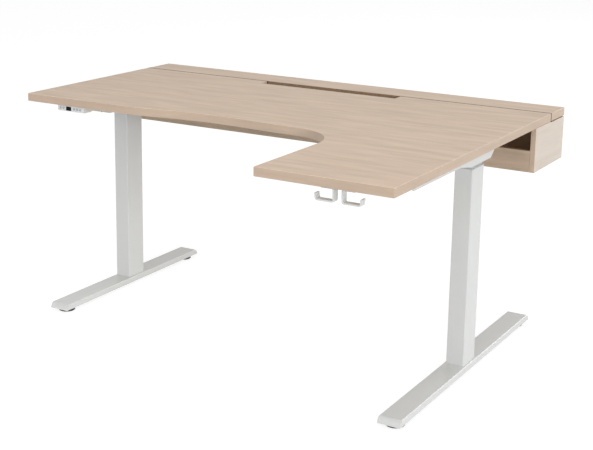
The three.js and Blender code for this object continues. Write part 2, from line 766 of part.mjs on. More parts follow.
// A rectangular tube between two end plates, along X from x = 0. The plates hang lower than the tube.
function beamGeometry() {
  const length = rightLegX - leftLegX - railWidth - 2 * gap;
  const tube = rectangularTube(beamHeight, beamDepth, beamCorner, beamWall, length).rotateY(Math.PI / 2);
  const plate = (x) => block(
    [x, x + beamPlateThickness],
    [-beamPlateDepth / 2, beamPlateDepth / 2],
    [beamHeight / 2 - beamPlateHeight, beamHeight / 2],
  );
  const vent = rod(beamVentRadius, -past, length + past, 12).rotateY(Math.PI / 2);
  return cut(fuse(tube, plate(0), plate(length - beamPlateThickness)), vent);
}

const beamX = leftLegX + railWidth / 2 + gap;
const beamZ = fixZ - beamHeight / 2;
const rearBeamY = leftLegY + rearBeamOffset;
piece(desk, 'front_crossbeam', beamGeometry(), whiteSteel(), beamX, -leftLegY - frontBeamOffset, beamZ);
piece(desk, 'rear_crossbeam', beamGeometry(), whiteSteel(), beamX, -rearBeamY, beamZ);

// ---------------------------------------------------------------- control box

const controlBox = new THREE.Group();
const controlBoxFront = rearBeamY - beamDepth / 2 - controlBoxClearance;
controlBox.position.set(controlBoxX, -controlBoxFront, fixZ - controlBoxHeight);
desk.add(controlBox);

const inletX = controlBoxWidth - inletFromEnd - inletWidth / 2;
const inletZ = controlBoxHeight / 2;

function controlBoxGeometry() {
  const section = roundedRectangle(controlBoxWidth, controlBoxHeight, controlBoxEdge);
  const casing = extrudeY(section, controlBoxDepth, 4).translate(controlBoxWidth / 2, 0, inletZ);
  const pocket = block(
    [inletX - inletWidth / 2 - gap, inletX + inletWidth / 2 + gap],
    [controlBoxDepth - inletDepth - gap, controlBoxDepth + past],
    [inletZ - inletHeight / 2 - gap, inletZ + inletHeight / 2 + gap],
  );
  const ear = block(
    [-controlBoxEarLength, controlBoxWidth + controlBoxEarLength],
    [(controlBoxDepth - controlBoxEarDepth) / 2, (controlBoxDepth + controlBoxEarDepth) / 2],
    [controlBoxHeight - controlBoxEarThickness, controlBoxHeight],
  );
  return cut(fuse(casing, ear), pocket);
}

function inletGeometry() {
  const shell = extrudeY(roundedRectangle(inletWidth, inletHeight, inletCorner), inletDepth, 3);
  const width = inletWidth - 2 * inletWall;
  const height = inletHeight - 2 * inletWall;
  const mouth = extrudeY(roundedRectangle(width, height, inletCorner), inletDepth, 3);
  return cut(shell, mouth.translate(0, inletWall, 0));
}

piece(controlBox, 'control_box', controlBoxGeometry(), blackPlastic());
piece(controlBox, 'power_inlet', inletGeometry(), greyPlastic(),
  inletX, controlBoxDepth - inletDepth, inletZ);

// ---------------------------------------------------------------- handset

const handset = new THREE.Group();
handset.position.set(handsetX, -wingDepth + handsetSetback, fixZ - handsetHeight);
desk.add(handset);

const panelZ = handsetHeight / 2; // middle of the front face
const displayX = handsetLeftMargin + buttonPitch + buttonWidth + displayGap;
const memoryX = displayX + displayWidth + memoryGap;
const buttonPlaces = {
  up_button: handsetLeftMargin,
  down_button: handsetLeftMargin + buttonPitch,
  memory_1_button: memoryX,
  memory_2_button: memoryX + buttonPitch,
  memory_3_button: memoryX + 2 * buttonPitch,
};
const handsetWidth = memoryX + 2 * buttonPitch + buttonWidth + handsetRightMargin;

function handsetGeometry() {
  const side = outline([
    [0, handsetEdge],
    [handsetEdge, 0],
    [handsetFlatDepth, 0],
    [handsetDepth, handsetHeight - handsetRearHeight],
    [handsetDepth, handsetHeight],
    [0, handsetHeight],
  ]);
  const pocket = (x, width, height, depth) => block(
    [x - gap, x + width + gap],
    [-past, depth],
    [panelZ - height / 2 - gap, panelZ + height / 2 + gap],
  );
  const buttonDepth = buttonLength - buttonProud + buttonTravel + gap;
  const wells = Object.values(buttonPlaces).map((x) => pocket(x, buttonWidth, buttonHeight, buttonDepth));
  const window = pocket(displayX, displayWidth, displayHeight, displayThickness + gap);
  return cut(extrudeX(side, handsetWidth), window, ...wells);
}

piece(handset, 'handset_housing', handsetGeometry(), whitePlastic());
piece(handset, 'handset_display',
  block([0, displayWidth], [0, displayThickness], [-displayHeight / 2, displayHeight / 2]), smokedGlass(),
  displayX, 0, panelZ);
for (const [name, x] of Object.entries(buttonPlaces)) {
  const cap = extrudeY(roundedRectangle(buttonWidth, buttonHeight, buttonCorner), buttonLength, 3);
  piece(handset, name, cap, greyPlastic(), x + buttonWidth / 2, -buttonProud, panelZ);
}

// ---------------------------------------------------------------- bag hooks

// A strip bent from its flange under the top down the upright, along the tray and up at the tip.
function hookGeometry(direction) {
  const half = hookStrip / 2;
  const corners = [
    [hookFlange, -half],
    [0, -half],
    [0, -hookDrop],
    [hookReach, -hookDrop],
    [hookReach + hookTipLean, -hookDrop + hookTip],
  ];
  const path = corners.map(([x, z]) => new THREE.Vector2(direction * x, z));
  const screws = hookScrewPlaces.map((x) =>
    rod(hookScrewRadius, -hookStrip - past, past, 10).translate(direction * x, hookWidth / 2, 0));
  return cut(extrudeY(bentStrip(path, hookStrip, hookBend), hookWidth), ...screws);
}

for (const [name, direction] of [['left_hook', -1], ['right_hook', 1]]) {
  piece(desk, name, hookGeometry(direction), whiteSteel(),
    deskWidth - hookPairInset + (direction * hookApart) / 2, -returnDepth + hookSetback, fixZ);
}

export default desk;
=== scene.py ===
# %% [markdown]
# # A standing desk for a corner
# This notebook dresses an electric sit-stand desk: an L-shaped maple top with a lift-up flap over
# a cable tray, on two white telescopic legs. The pieces come in at their real size and place, and
# they stay there. Each step below gives one piece or one finish what the real one has: the grain
# of the board, the powder coat on the steel, the screws underneath.

# %% Load the desk
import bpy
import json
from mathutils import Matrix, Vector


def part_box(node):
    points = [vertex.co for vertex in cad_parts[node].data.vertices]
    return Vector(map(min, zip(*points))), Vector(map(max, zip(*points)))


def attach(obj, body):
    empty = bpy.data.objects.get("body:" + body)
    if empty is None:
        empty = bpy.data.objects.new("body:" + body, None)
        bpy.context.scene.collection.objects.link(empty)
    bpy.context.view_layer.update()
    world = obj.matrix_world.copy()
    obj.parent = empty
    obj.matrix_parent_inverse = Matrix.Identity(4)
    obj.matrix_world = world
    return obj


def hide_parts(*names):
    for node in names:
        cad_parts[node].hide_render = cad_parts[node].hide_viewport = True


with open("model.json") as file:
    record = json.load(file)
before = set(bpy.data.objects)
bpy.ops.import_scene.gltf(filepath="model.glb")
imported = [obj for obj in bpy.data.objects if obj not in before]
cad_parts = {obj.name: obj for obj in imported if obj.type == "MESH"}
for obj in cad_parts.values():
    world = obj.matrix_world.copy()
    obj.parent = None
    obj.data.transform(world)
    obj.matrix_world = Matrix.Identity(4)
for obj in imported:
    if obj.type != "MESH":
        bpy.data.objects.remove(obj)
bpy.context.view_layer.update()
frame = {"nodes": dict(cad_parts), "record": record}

nodes = frame["nodes"]

# %% Tools used all the way through
import json
import math
import bmesh
import bpy
from mathutils import Matrix, Vector

MM = 0.001
X, Y, Z = range(3)
scene = bpy.context.scene
scene.view_settings.view_transform = "Standard"

def box_mm(node):
    """Low and high corner of a piece's box, in millimetres."""
    low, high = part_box(node)
    return Vector(low) / MM, Vector(high) / MM


print("the top is", round(box_mm("desktop")[1].z), "mm above the floor")

# %% [markdown]
# ## The camera
# A desk is looked at from standing height, a few steps away and off to one side, so that the two
# wings of the L both show. A long lens keeps its edges nearly parallel. The camera is level
# enough for the legs to stay upright, and a small downward lens shift brings the feet into the
# frame instead of more tilt.

# %% Camera
eye = Vector((1.9304, -3.0977, 1.3876))
heading = math.radians(29.99)
tilt = math.radians(-13.165)
roll = math.radians(0.918)

camera = bpy.data.objects.new("camera", bpy.data.cameras.new("camera"))
camera.data.sensor_width = 36
camera.data.lens = 75.81
camera.data.shift_y = -0.1097
turned_left = Matrix.Rotation(heading, 4, "Z")
tipped_down = Matrix.Rotation(math.pi / 2 + tilt, 4, "X")
rolled = Matrix.Rotation(roll, 4, "Z")
camera.matrix_world = Matrix.Translation(eye) @ turned_left @ tipped_down @ rolled
scene.collection.objects.link(camera)
scene.camera = camera
print("camera", [round(c, 2) for c in eye])

# %% [markdown]
# ## Adding shader nodes with short calls
# Every finish here is a small network of shader nodes. Writing each one out takes three lines, so
# these helpers add a node, fill in its sockets by name, and link it when the value is another
# node's output.

# %% Helpers for shader nodes
def add(tree, kind, inputs=None, **settings):
    node = tree.nodes.new("ShaderNode" + kind)
    for name, value in settings.items():
        setattr(node, name, value)
    for name, value in (inputs or {}).items():
        if isinstance(value, bpy.types.NodeSocket):
            tree.links.new(value, node.inputs[name])
        else:
            node.inputs[name].default_value = value
    return node


def maths(tree, operation, a, b=0.0):
    return add(tree, "Math", {0: a, 1: b}, operation=operation).outputs[0]


def blended(tree, factor, colour_a, colour_b):
    """Mix two colours. Sockets 6 and 7 are the colour inputs of the Mix node."""
    return add(tree, "Mix", {0: factor, 6: colour_a, 7: colour_b}, data_type="RGBA").outputs[2]


def ranged(tree, value, low, high, to_low, to_high):
    """Stretch the range from low to high over another one, and clamp what lies outside."""
    sockets = {"Value": value, "From Min": low, "From Max": high,
               "To Min": to_low, "To Max": to_high}
    return add(tree, "MapRange", sockets).outputs[0]


def noise(tree, vector, stretch, detail, roughness=0.5, distortion=0.0):
    """Noise with its own number of spots per metre along each axis of the vector."""
    scaled = add(tree, "VectorMath", {0: vector, 1: stretch}, operation="MULTIPLY").outputs[0]
    sockets = {"Vector": scaled, "Scale": 1.0, "Detail": detail, "Roughness": roughness,
               "Distortion": distortion}
    return add(tree, "TexNoise", sockets).outputs["Fac"]


def bumped(tree, height, distance, strength):
    sockets = {"Height": height, "Distance": distance, "Strength": strength}
    return add(tree, "Bump", sockets).outputs[0]


def finish(name):
    """A new material, its node tree and its shader."""
    material = bpy.data.materials.new(name)
    material.use_nodes = True
    tree = material.node_tree
    return material, tree, tree.nodes["Principled BSDF"]


# %% [markdown]
# ## Floor, backdrop and light
# A plain white studio is one floor and one bright world. The world is white where the lens sees
# it, or sees it in a reflection, and dimmer where it lights the desk, so the background is clean
# and the desk keeps its shading. The floor does the same: it glows a little for the lens, and it
# still takes the shadow.

# %% World
SEEN_WHITE = 1.0
SKY_LIGHT = 0.37

def seen_directly(tree):
    """1 for rays from the lens, also after a reflection or through glass."""
    path = add(tree, "LightPath").outputs
    seen = maths(tree, "MAXIMUM", path["Is Camera Ray"], path["Is Glossy Ray"])
    return maths(tree, "MAXIMUM", seen, path["Is Transmission Ray"])


world = bpy.data.worlds.new("white studio")
scene.world = world
world.use_nodes = True
tree = world.node_tree
tree.nodes.clear()
dim = add(tree, "Background", {"Color": (1, 1, 1, 1), "Strength": SKY_LIGHT})
white = add(tree, "Background", {"Color": (1, 1, 1, 1), "Strength": SEEN_WHITE})
either = add(tree, "MixShader", {0: seen_directly(tree), 1: dim.outputs[0], 2: white.outputs[0]})
add(tree, "OutputWorld", {"Surface": either.outputs[0]})
print("world lights with", SKY_LIGHT)

# %% Floor
FLOOR_SIZE = 60.0
FLOOR_GLOW = 0.86

floor_mesh = bpy.data.meshes.new("studio_floor")
half = FLOOR_SIZE / 2
floor_corners = [(-half, -half, 0), (half, -half, 0), (half, half, 0), (-half, half, 0)]
floor_mesh.from_pydata(floor_corners, [], [(0, 1, 2, 3)])
floor = bpy.data.objects.new("studio_floor", floor_mesh)
scene.collection.objects.link(floor)

floor_paint, tree, shader = finish("floor paint")
tree.nodes.remove(shader)
lit = add(tree, "BsdfDiffuse", {"Color": (0.8, 0.8, 0.8, 1)})
shadowed = add(tree, "BsdfDiffuse", {"Color": (0.3, 0.3, 0.3, 1)})
glow = add(tree, "Emission", {"Color": (1, 1, 1, 1), "Strength": FLOOR_GLOW})
glowing = add(tree, "AddShader", {0: shadowed.outputs[0], 1: glow.outputs[0]})
either = add(tree, "MixShader", {0: seen_directly(tree), 1: lit.outputs[0], 2: glowing.outputs[0]})
tree.links.new(either.outputs[0], tree.nodes["Material Output"].inputs["Surface"])
floor_mesh.materials.append(floor_paint)
print("floor", FLOOR_SIZE, "m wide")

# %% Softboxes
desk_middle = Vector((0.0, 0.0, 0.4))

def softbox(name, place, size, power):
    lamp = bpy.data.lights.new(name, "AREA")
    lamp.shape = "RECTANGLE"
    lamp.size, lamp.size_y = size
    lamp.energy = power
    light = bpy.data.objects.new(name, lamp)
    light.location = place
    light.rotation_euler = (desk_middle - Vector(place)).to_track_quat("-Z", "Y").to_euler()
    scene.collection.objects.link(light)


softbox("side_right", (14.0, -2.3, 2.0), (6.0, 6.0), 340)
softbox("three_quarter", (10.0, -9.2, 2.6), (6.0, 4.5), 570)
softbox("fill_left", (-5.5, -6.0, 2.4), (4.0, 3.0), 45)
softbox("rear_fill", (3.0, 7.0, 2.5), (4.0, 4.0), 140)
softbox("overhead", (0.9, -0.6, 3.4), (3.0, 3.0), 28)
softbox("overhead_front", (0.8, -3.2, 3.6), (3.0, 3.0), 40)
print(len(bpy.data.lights), "softboxes")

# %% [markdown]
# ## Maple board
# The top is chipboard faced with a printed maple film. Up close it has long soft bands, a few
# wandering growth lines and fine fibres, and all of them run along the desk's width. Object
# coordinates are in metres and stay with the board when it moves, so the grain is laid out in
# them: one number runs along the grain and one across it. The face's own direction picks which,
# so the front edges carry grain along their length.

# %% Grain
SQUARE_ON = 0.7

def grain_coordinates(tree, board_offset):
    """Metres along the grain and across it, a board's own number, and the face's direction."""
    place = add(tree, "TexCoord")
    x, y, z = add(tree, "SeparateXYZ", {0: place.outputs["Object"]}).outputs
    facing = add(tree, "SeparateXYZ", {0: place.outputs["Normal"]}).outputs
    level = maths(tree, "GREATER_THAN", maths(tree, "ABSOLUTE", facing[Z]), SQUARE_ON)
    upright = maths(tree, "SUBTRACT", 1.0, level)
    along = maths(tree, "SUBTRACT", x, maths(tree, "MULTIPLY", y, upright))
    across = maths(tree, "ADD", maths(tree, "MULTIPLY", y, level),
                   maths(tree, "MULTIPLY", z, upright))
    grain = add(tree, "CombineXYZ", {0: along, 1: across, 2: board_offset}).outputs[0]
    return grain, facing


print("a face looks along an axis from", SQUARE_ON, "of its direction")

# %% Colours of the film
def tinted(colour, tint):
    return tuple(c * t for c, t in zip(colour, tint)) + (1,)


MAPLE_PALE = (0.690, 0.532, 0.404)
MAPLE_DARK = (0.552, 0.420, 0.312)
BAND_PALE = (0.612, 0.475, 0.365)
BAND_DARK = (0.535, 0.410, 0.312)
PORE = (0.420, 0.330, 0.250, 1)
# paler colour of the painted highlight along the rounded arrises
PAINTED_ARRIS_HIGHLIGHT = (0.780, 0.640, 0.510, 1)
FILM_SHINE = 0.3
EVEN = (1.0, 1.0, 1.0)
# painted light and shade: the tray's side boards are tinted paler for the light that falls on them
# from the right, and the lip darker for the shade under the top
PAINTED_LIGHT_TINT = (1.12, 1.28, 1.47)
PAINTED_SHADE_TINT = (0.87, 0.88, 0.88)
# painted shade: dark bare-chipboard colours for the flap's edge, which is the far wall of the
# cable opening
SHADED_CHIP_DARK = (0.190, 0.122, 0.072, 1)
SHADED_CHIP_PALE = (0.340, 0.235, 0.150, 1)
print("film from", MAPLE_DARK, "to", MAPLE_PALE)

# %% Maple
ROUND_FROM, ROUND_TO = 0.25, 0.98
# how much of the painted arris highlight is laid on the rounds
ARRIS_HIGHLIGHT_SHARE = 0.45
FACES_FRONT = -0.25
GRAIN_STEP = 3.7

def maple(name, board_offset, broad_axis, lighting_tint, contrast, shaded_bare_edge):
    material, tree, shader = finish(name)
    grain, facing = grain_coordinates(tree, board_offset)
    broad = maths(tree, "GREATER_THAN", maths(tree, "ABSOLUTE", facing[broad_axis]), SQUARE_ON)
    bands = noise(tree, grain, (4.5, 34, 1), detail=4, roughness=0.55, distortion=0.5)
    streaks = noise(tree, grain, (12, 140, 3), detail=3, roughness=0.6)
    fibres = noise(tree, grain, (40, 1500, 5), detail=2, roughness=0.6)
    tone = maths(tree, "MULTIPLY", bands, 0.55)
    tone = maths(tree, "ADD", tone, maths(tree, "MULTIPLY", streaks, 0.3))
    tone = maths(tree, "ADD", tone, maths(tree, "MULTIPLY", fibres, 0.15))
    tone = ranged(tree, tone, 0.38, 0.62, 0.5 - contrast / 2, 0.5 + contrast / 2)
    # the film's colours take the board's tint of painted light or shade
    face = blended(tree, tone, tinted(MAPLE_DARK, lighting_tint), tinted(MAPLE_PALE, lighting_tint))
    pores = ranged(tree, noise(tree, grain, (90, 1700, 9), detail=1), 0.66, 0.74, 0.0, 0.35)
    face = blended(tree, pores, face, PORE)
    edging = blended(tree, tone, tinted(BAND_DARK, EVEN), tinted(BAND_PALE, EVEN))
    slope = maths(tree, "ABSOLUTE", facing[Z])
    on_round = maths(tree, "MULTIPLY", maths(tree, "GREATER_THAN", slope, ROUND_FROM),
                     maths(tree, "LESS_THAN", slope, ROUND_TO))
    board = blended(tree, broad, edging, face)
    # Painted highlight: the rounded arris is made paler, most where it faces front or rear, for
    # the light that it catches.
    not_facing_sideways = maths(tree, "SUBTRACT", 1.0, maths(tree, "ABSOLUTE", facing[X]))
    painted_highlight = maths(tree, "MULTIPLY", on_round, maths(tree, "MULTIPLY", not_facing_sideways, ARRIS_HIGHLIGHT_SHARE))
    board = blended(tree, painted_highlight, board, PAINTED_ARRIS_HIGHLIGHT)
    # Painted shade: the flap's edge that faces the top, seen through the opening, is given dark
    # chipboard colours that stand for the shade there.
    if shaded_bare_edge:
        chips = noise(tree, grain, (160, 520, 2), detail=3, roughness=0.7)
        shaded_chipboard = blended(tree, ranged(tree, chips, 0.35, 0.65, 0.0, 1.0), SHADED_CHIP_DARK, SHADED_CHIP_PALE)
        to_the_front = maths(tree, "LESS_THAN", facing[Y], FACES_FRONT)
        board = blended(tree, to_the_front, board, shaded_chipboard)
    tree.links.new(board, shader.inputs["Base Color"])
    tree.links.new(ranged(tree, streaks, 0.3, 0.7, 0.42, 0.54), shader.inputs["Roughness"])
    relief = maths(tree, "SUBTRACT", fibres, maths(tree, "MULTIPLY", pores, 1.5))
    tree.links.new(bumped(tree, relief, 0.00006, 0.6), shader.inputs["Normal"])
    shader.inputs["Specular IOR Level"].default_value = FILM_SHINE
    return material


# each board: the axis its broad faces look along, a tint that paints light or shade on it, and the
# grain's contrast
boards = {
    "desktop": (Z, EVEN, 1.0),
    "rear_flap": (Z, EVEN, 1.0),
    "tray_left_side": (X, PAINTED_LIGHT_TINT, 0.5),
    "tray_right_side": (X, PAINTED_LIGHT_TINT, 0.5),
    "tray_bottom": (Z, EVEN, 1.0),
    "tray_lip": (Y, PAINTED_SHADE_TINT, 1.0),
    "tray_back": (Y, EVEN, 1.0),
}
for number, (node, (broad_axis, lighting_tint, contrast)) in enumerate(boards.items()):
    # the flap's front edge carries the painted shade of the opening
    shaded_bare_edge = node == "rear_flap"
    film = maple("maple " + node, GRAIN_STEP * number, broad_axis, lighting_tint, contrast, shaded_bare_edge)
    nodes[node].material_slots[0].material = film
print("maple on", len(boards), "boards")

# %% [markdown]
# ## Powder coat
# The legs are steel with a white powder coat, baked until it melts into a satin skin. It is never
# quite smooth: it has the slow ripple that painters call orange peel, about a millimetre or two
# across. Noise in the bump makes the ripple, and a slower noise lets the white drift a little
# from place to place.

# %% Powder coat
def powder_coat(name, colour):
    material, tree, shader = finish(name)
    place = add(tree, "TexCoord").outputs["Object"]
    drift = noise(tree, place, (9, 9, 9), detail=2)
    peel = noise(tree, place, (650, 650, 650), detail=1)
    specks = noise(tree, place, (2600, 2600, 2600), detail=1)
    pale = tuple(min(1.0, c * 1.03) for c in colour[:3]) + (1,)
    tree.links.new(blended(tree, drift, colour, pale), shader.inputs["Base Color"])
    shader.inputs["Roughness"].default_value = 0.27
    relief = maths(tree, "ADD", peel, maths(tree, "MULTIPLY", specks, 0.15))
    tree.links.new(bumped(tree, relief, 0.00002, 0.4), shader.inputs["Normal"])
    return material


white_coat = powder_coat("white powder coat", (0.700, 0.712, 0.702, 1))
print("made", white_coat.name)

# %% [markdown]
# ## Plated, drawn and cast metal
# Three bare metals are inside and under the desk. Zinc plate is bright with a faint spangle.
# Drawn steel keeps the fine rings of the lathe and a film of grease. The drives' housings are
# die-cast and blasted, which leaves a fine even grit.

# %% Metals
def metal(name, colour, roughness, stretch, relief_depth):
    material, tree, shader = finish(name)
    shader.inputs["Metallic"].default_value = 1.0
    place = add(tree, "TexCoord").outputs["Object"]
    texture = noise(tree, place, stretch, detail=3)
    stain = noise(tree, place, (25, 25, 25), detail=4)
    dull = tuple(c * 0.82 for c in colour[:3]) + (1,)
    tree.links.new(blended(tree, ranged(tree, stain, 0.35, 0.7, 0.0, 1.0), colour, dull),
                   shader.inputs["Base Color"])
    tree.links.new(ranged(tree, stain, 0.3, 0.7, roughness, roughness + 0.12),
                   shader.inputs["Roughness"])
    tree.links.new(bumped(tree, texture, relief_depth, 0.5), shader.inputs["Normal"])
    return material


zinc_plate = metal("zinc plate", (0.66, 0.67, 0.69, 1), 0.30, (260, 260, 260), 0.00003)
drawn_bar = metal("drawn steel", (0.54, 0.55, 0.56, 1), 0.22, (60, 60, 2400), 0.00004)
cast_metal = metal("blasted casting", (0.50, 0.51, 0.53, 1), 0.46, (1500, 1500, 1500), 0.00008)
print("made", zinc_plate.name + ",", drawn_bar.name, "and", cast_metal.name)

# %% [markdown]
# ## Plastics and rubber
# Moulded parts take their skin from the tool: a fine spark-eroded grain that kills the shine. The
# handset's window is the exception, a polished dark pane.

# %% Plastics
def moulded(name, colour, roughness, grain_per_metre=1800, relief_depth=0.00005):
    material, tree, shader = finish(name)
    place = add(tree, "TexCoord").outputs["Object"]
    grain = noise(tree, place, (grain_per_metre,) * 3, detail=2)
    cloud = noise(tree, place, (40, 40, 40), detail=3)
    paler = tuple(min(1.0, c * 1.12 + 0.004) for c in colour[:3]) + (1,)
    tree.links.new(blended(tree, ranged(tree, cloud, 0.35, 0.65, 0.0, 1.0), colour, paler),
                   shader.inputs["Base Color"])
    tree.links.new(ranged(tree, grain, 0.3, 0.7, roughness - 0.05, roughness + 0.08),
                   shader.inputs["Roughness"])
    tree.links.new(bumped(tree, grain, relief_depth, 0.6), shader.inputs["Normal"])
    return material


black_moulding = moulded("black moulding", (0.020, 0.020, 0.022, 1), 0.5)
black_coat = moulded("black coat", (0.022, 0.022, 0.024, 1), 0.42)
white_moulding = moulded("white moulding", (0.720, 0.725, 0.725, 1), 0.4)
grey_moulding = moulded("grey moulding", (0.480, 0.490, 0.495, 1), 0.45)
key_print = moulded("key print", (0.130, 0.132, 0.135, 1), 0.5)
soft_rubber = moulded("soft rubber", (0.016, 0.016, 0.016, 1), 0.7, 900, 0.00008)
dark_pane = moulded("dark pane", (0.004, 0.004, 0.005, 1), 0.1, 300, 0.000002)
unlit_bar = moulded("unlit bar", (0.010, 0.010, 0.011, 1), 0.3, 300, 0.000002)
# painted shade: near-black bristles that darken the slit between the top and its flap
seam_shade_bristles = moulded("seam_shade_bristles", (0.030, 0.022, 0.018, 1), 0.8, 2500, 0.0003)
SMOKED_SHINE = 0.1
for smoked in (dark_pane, unlit_bar):
    shader = smoked.node_tree.nodes["Principled BSDF"]
    shader.inputs["Specular IOR Level"].default_value = SMOKED_SHINE
print(len(bpy.data.materials), "materials so far")

# %% Put each finish on its pieces
finishes = {
    "white_steel": white_coat,
    "zinc_steel": zinc_plate,
    "drawn_steel": drawn_bar,
    "cast_housing": cast_metal,
    "black_plastic": black_moulding,
    "black_glide": black_coat,
    "white_plastic": white_moulding,
    "grey_plastic": grey_moulding,
    "display_pane": dark_pane,
    "black_rubber": soft_rubber,
}
for subpart in frame["record"]["subparts"]:
    if subpart["material_slot"] in finishes:
        nodes[subpart["node"]].material_slots[0].material = finishes[subpart["material_slot"]]
print(len(finishes), "finishes given out")

# %% [markdown]
# ## Softened edges
# No real edge is sharp. Edge banding is rounded with a scraper, sheet steel is deburred and its
# coat pulls back from the corner. A bevel modifier makes that fine round, which catches the light
# along every edge. The pieces come in as triangles that share no corners, so they are welded and
# their flat faces joined first. A weighted normal keeps the flats flat beside the rounds.

# %% Widths of the rounds, in millimetres
EASED = {
    "maple_board": 1.0,
    "white_steel": 0.5,
    "zinc_steel": 0.25,
    "drawn_steel": 0.25,
    "cast_housing": 0.8,
    "black_plastic": 0.4,
    "black_glide": 0.5,
    "white_plastic": 0.15,
    "grey_plastic": 0.25,
    "display_pane": 0.15,
    "black_rubber": 0.5,
}
EDGE_BANDING = {"desktop": 1.8, "rear_flap": 1.8}
print("rounds from", min(EASED.values()), "to", max(EDGE_BANDING.values()), "mm")

# %% Welding, and smooth shading up to an angle
SHARP_ANGLE = math.radians(40)
FLAT_ANGLE = math.radians(0.4)
WELD_DISTANCE = 0.01

def geometry_group(name):
    """An empty group of geometry nodes, with its start and its end."""
    group = bpy.data.node_groups.new(name, "GeometryNodeTree")
    for way in ("INPUT", "OUTPUT"):
        group.interface.new_socket("Geometry", in_out=way, socket_type="NodeSocketGeometry")
    return group, group.nodes.new("NodeGroupInput"), group.nodes.new("NodeGroupOutput")


def bare_surface_group():
    """Geometry nodes that drop the imported normals and weld the triangles."""
    group, start, end = geometry_group("welded surface")
    forget = group.nodes.new("GeometryNodeRemoveAttribute")
    forget.inputs["Name"].default_value = "custom_normal"
    weld = group.nodes.new("GeometryNodeMergeByDistance")
    weld.inputs["Distance"].default_value = WELD_DISTANCE * MM
    group.links.new(start.outputs[0], forget.inputs[0])
    group.links.new(forget.outputs[0], weld.inputs[0])
    group.links.new(weld.outputs[0], end.inputs[0])
    return group


def smooth_by_angle_group(angle):
    """Geometry nodes that shade smooth, and keep edges sharp above an angle."""
    group, start, end = geometry_group("smooth by angle")
    faces = group.nodes.new("GeometryNodeSetShadeSmooth")
    faces.domain = "FACE"
    edges = group.nodes.new("GeometryNodeSetShadeSmooth")
    edges.domain = "EDGE"
    bend = group.nodes.new("GeometryNodeInputMeshEdgeAngle")
    gentle = group.nodes.new("FunctionNodeCompare")
    gentle.data_type = "FLOAT"
    gentle.operation = "LESS_THAN"
    gentle.inputs["B"].default_value = angle
    group.links.new(bend.outputs["Unsigned Angle"], gentle.inputs["A"])
    group.links.new(start.outputs[0], faces.inputs["Geometry"])
    group.links.new(faces.outputs[0], edges.inputs["Geometry"])
    group.links.new(gentle.outputs[0], edges.inputs["Shade Smooth"])
    group.links.new(edges.outputs[0], end.inputs[0])
    return group


bare_surface = bare_surface_group()
smooth_by_angle = smooth_by_angle_group(SHARP_ANGLE)
print("edges over", round(math.degrees(SHARP_ANGLE)), "degrees stay sharp")

# %% Edge rounding
BEVEL_STEPS = 3
FLATS_FIRST = 80

def soften(piece, width, cut=None):
    """Round a piece's edges by a width in millimetres, after a cut if there is one."""
    piece.modifiers.new("welded surface", "NODES").node_group = bare_surface
    if cut:
        piece.modifiers.new("cut", "NODES").node_group = cut
    joined = piece.modifiers.new("joined flats", "DECIMATE")
    joined.decimate_type = "DISSOLVE"
    joined.angle_limit = FLAT_ANGLE
    eased = piece.modifiers.new("eased edges", "BEVEL")
    eased.width = width * MM
    eased.segments = BEVEL_STEPS
    eased.limit_method = "ANGLE"
    eased.angle_limit = SHARP_ANGLE
    eased.harden_normals = False
    piece.modifiers.new("smooth by angle", "NODES").node_group = smooth_by_angle
    flats = piece.modifiers.new("flat flats", "WEIGHTED_NORMAL")
    flats.keep_sharp = True
    flats.weight = FLATS_FIRST


for subpart in frame["record"]["subparts"]:
    node = subpart["node"]
    soften(nodes[node], EDGE_BANDING.get(node, EASED[subpart["material_slot"]]))
print("edges eased on", len(nodes), "pieces")

# %% [markdown]
# ## The cable opening
# Behind the keyboard the top stops short of its flap for half a metre, so that plugs can pass
# down to the tray. The opening is a box taken out of the middle of the rear edge, before that
# edge is rounded. The board with the opening stands for the plain one, and it still moves with
# the top.

# %% Cable opening
OPENING_LENGTH = 500
OPENING_DEPTH = 44
CUT_PAST = 20

def box_cut_group(name, low, high):
    """Geometry nodes that take a box out of a piece; its corners are in millimetres."""
    group, start, end = geometry_group(name)
    block = group.nodes.new("GeometryNodeMeshCube")
    block.inputs["Size"].default_value = (high - low) * MM
    placed = group.nodes.new("GeometryNodeTransform")
    placed.inputs["Translation"].default_value = (high + low) / 2 * MM
    taken = group.nodes.new("GeometryNodeMeshBoolean")
    taken.operation = "DIFFERENCE"
    taken.solver = "EXACT"
    group.links.new(block.outputs[0], placed.inputs[0])
    group.links.new(start.outputs[0], taken.inputs[0])
    group.links.new(placed.outputs[0], taken.inputs[1])
    group.links.new(taken.outputs[0], end.inputs[0])
    return group


def stand_in(name, node, body):
    """A copy of a plain piece, with its finish, that is shown in its place and can be reshaped."""
    piece = bpy.data.objects.new(name, nodes[node].data.copy())
    scene.collection.objects.link(piece)
    piece.material_slots[0].material = nodes[node].material_slots[0].material
    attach(piece, body)
    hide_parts(node)
    return piece


top_low, top_high = box_mm("desktop")
opening_low = Vector((-OPENING_LENGTH / 2, top_high.y - OPENING_DEPTH, top_low.z - CUT_PAST))
opening_high = Vector((OPENING_LENGTH / 2, top_high.y + CUT_PAST, top_high.z + CUT_PAST))
opened_board = stand_in("desktop_board", "desktop", "desk_top")
cable_opening = box_cut_group("cable opening", opening_low, opening_high)
soften(opened_board, EDGE_BANDING["desktop"], cable_opening)
print("opening", OPENING_LENGTH, "by", OPENING_DEPTH, "mm")

# %% [markdown]
# ## The front of the right rail
# The right rail runs on under the return, and its lower edge shows below the board as a thin pale
# line. So the shallow front of its channel is a few millimetres deeper here, and reaches a little
# further forward. Corners in the front part, other than those near the top, move down, and those
# at the front end move forward.

# %% Right rail
FRONT_DEEPER = 5.5
FRONT_LONGER = 25
FRONT_PART = 300
TOP_CORNERS = 10
FRONT_CORNERS = 10

